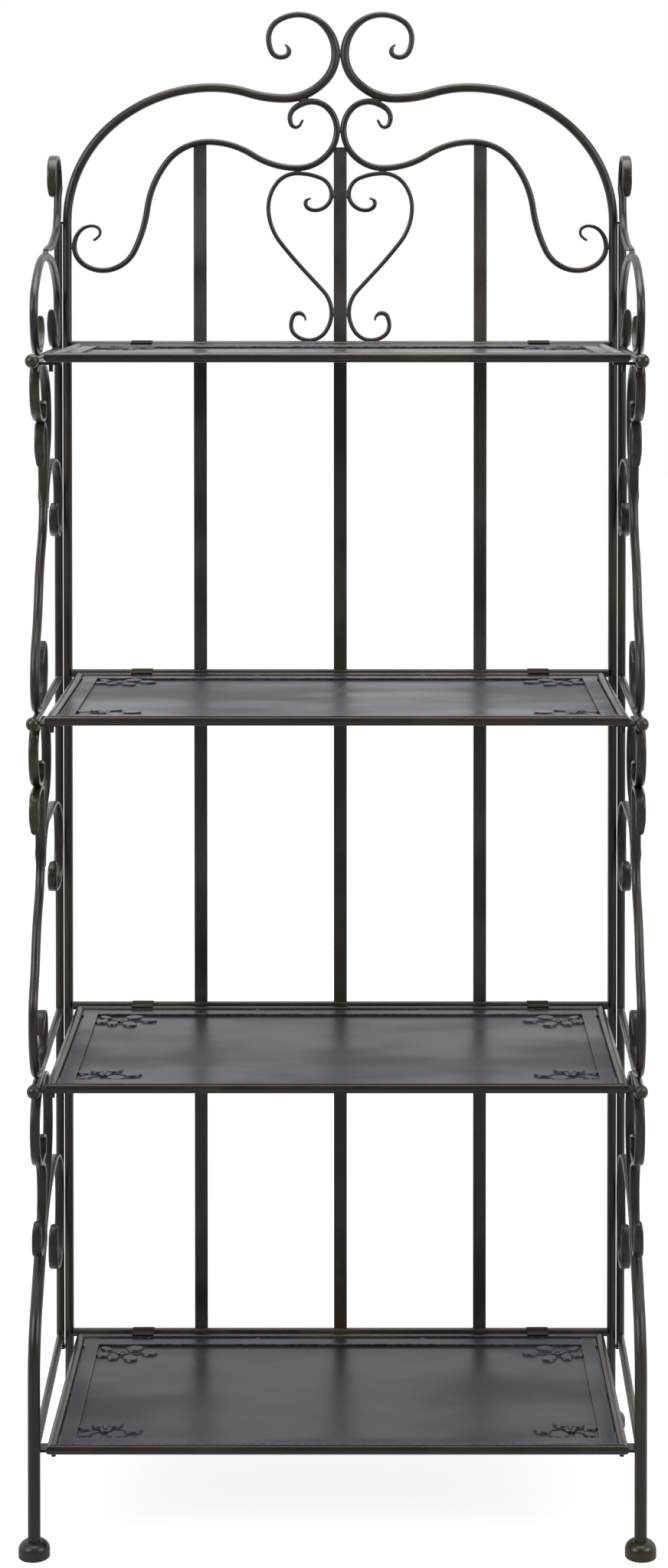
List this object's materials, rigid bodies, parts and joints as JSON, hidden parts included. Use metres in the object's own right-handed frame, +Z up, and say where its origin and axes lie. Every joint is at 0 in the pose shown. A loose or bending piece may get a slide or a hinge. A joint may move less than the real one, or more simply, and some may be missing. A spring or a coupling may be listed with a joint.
{
  "type": "bakers rack",
  "caption": "Free-standing scrolled steel rack: slatted back under a scrolled arch, hinged fold-up shelves, and side frames that swing on their rear posts.",
  "frame": {"origin": "on the floor at the middle of the footprint", "axes": "+X to the viewer's right, +Y from the open front to the slatted back, +Z up"},
  "size_m": [0.711, 0.381, 1.749],
  "materials": {
    "frame_metal": "satin, rubbed",
    "shelf_metal": "satin"
  },
  "bodies": {
    "back_frame": {"back_post_left": "frame_metal", "back_post_right": "frame_metal", "inner_arch_left": "frame_metal", "inner_arch_right": "frame_metal", "heart_scroll_left": "frame_metal", "heart_scroll_right": "frame_metal", "back_slat_left": "frame_metal", "back_slat_centre": "frame_metal", "back_slat_right": "frame_metal", "back_rail_1": "frame_metal", "back_rail_2": "frame_metal", "back_rail_3": "frame_metal", "back_rail_4": "frame_metal", "back_foot_left": "frame_metal", "back_foot_right": "frame_metal", "pivot_plates_left": "frame_metal", "pivot_plates_right": "frame_metal"},
    "side_frame_left": {"side_post_left": "frame_metal", "side_rails_left": "frame_metal", "ball_finials_left": "frame_metal", "top_scroll_left": "frame_metal", "crown_scroll_left": "frame_metal", "crooks_left": "frame_metal", "leg_1_left": "frame_metal", "leg_2_left": "frame_metal", "leg_3_left": "frame_metal", "rear_curls_left": "frame_metal", "toe_scroll_left": "frame_metal", "front_foot_left": "frame_metal", "shelf_tabs_left": "frame_metal"},
    "side_frame_right": {"side_post_right": "frame_metal", "side_rails_right": "frame_metal", "ball_finials_right": "frame_metal", "top_scroll_right": "frame_metal", "crown_scroll_right": "frame_metal", "crooks_right": "frame_metal", "leg_1_right": "frame_metal", "leg_2_right": "frame_metal", "leg_3_right": "frame_metal", "rear_curls_right": "frame_metal", "toe_scroll_right": "frame_metal", "front_foot_right": "frame_metal", "shelf_tabs_right": "frame_metal"},
    "shelf_1": {"shelf_frame_1": "frame_metal", "shelf_panel_1": "shelf_metal", "shelf_hinges_1": "frame_metal", "shelf_pegs_1": "frame_metal"},
    "shelf_2": {"shelf_frame_2": "frame_metal", "shelf_panel_2": "shelf_metal", "shelf_hinges_2": "frame_metal", "shelf_pegs_2": "frame_metal"},
    "shelf_3": {"shelf_frame_3": "frame_metal", "shelf_panel_3": "shelf_metal", "shelf_hinges_3": "frame_metal", "shelf_pegs_3": "frame_metal"},
    "shelf_4": {"shelf_frame_4": "frame_metal", "shelf_panel_4": "shelf_metal", "shelf_hinges_4": "frame_metal", "shelf_pegs_4": "frame_metal"}
  },
  "joints": [
    {"name": "shelf_1_hinge", "type": "hinge", "parent": "back_frame", "child": "shelf_1", "pos_m": [0, 0.1664, 1.34], "axis": [-1, 0, 0], "range_deg": [0, 88]},
    {"name": "shelf_2_hinge", "type": "hinge", "parent": "back_frame", "child": "shelf_2", "pos_m": [0, 0.1664, 0.936], "axis": [-1, 0, 0], "range_deg": [0, 90]},
    {"name": "shelf_3_hinge", "type": "hinge", "parent": "back_frame", "child": "shelf_3", "pos_m": [0, 0.1664, 0.525], "axis": [-1, 0, 0], "range_deg": [0, 90]},
    {"name": "shelf_4_hinge", "type": "hinge", "parent": "back_frame", "child": "shelf_4", "pos_m": [0, 0.1664, 0.119], "axis": [-1, 0, 0], "range_deg": [0, 90]},
    {"name": "side_left_swing", "type": "hinge", "parent": "back_frame", "child": "side_frame_left", "pos_m": [-0.3465, 0.173, 0.8], "axis": [0, 0, -1], "range_deg": [0, 90]},
    {"name": "side_right_swing", "type": "hinge", "parent": "back_frame", "child": "side_frame_right", "pos_m": [0.3465, 0.173, 0.8], "axis": [0, 0, 1], "range_deg": [0, 90]}
  ]
}
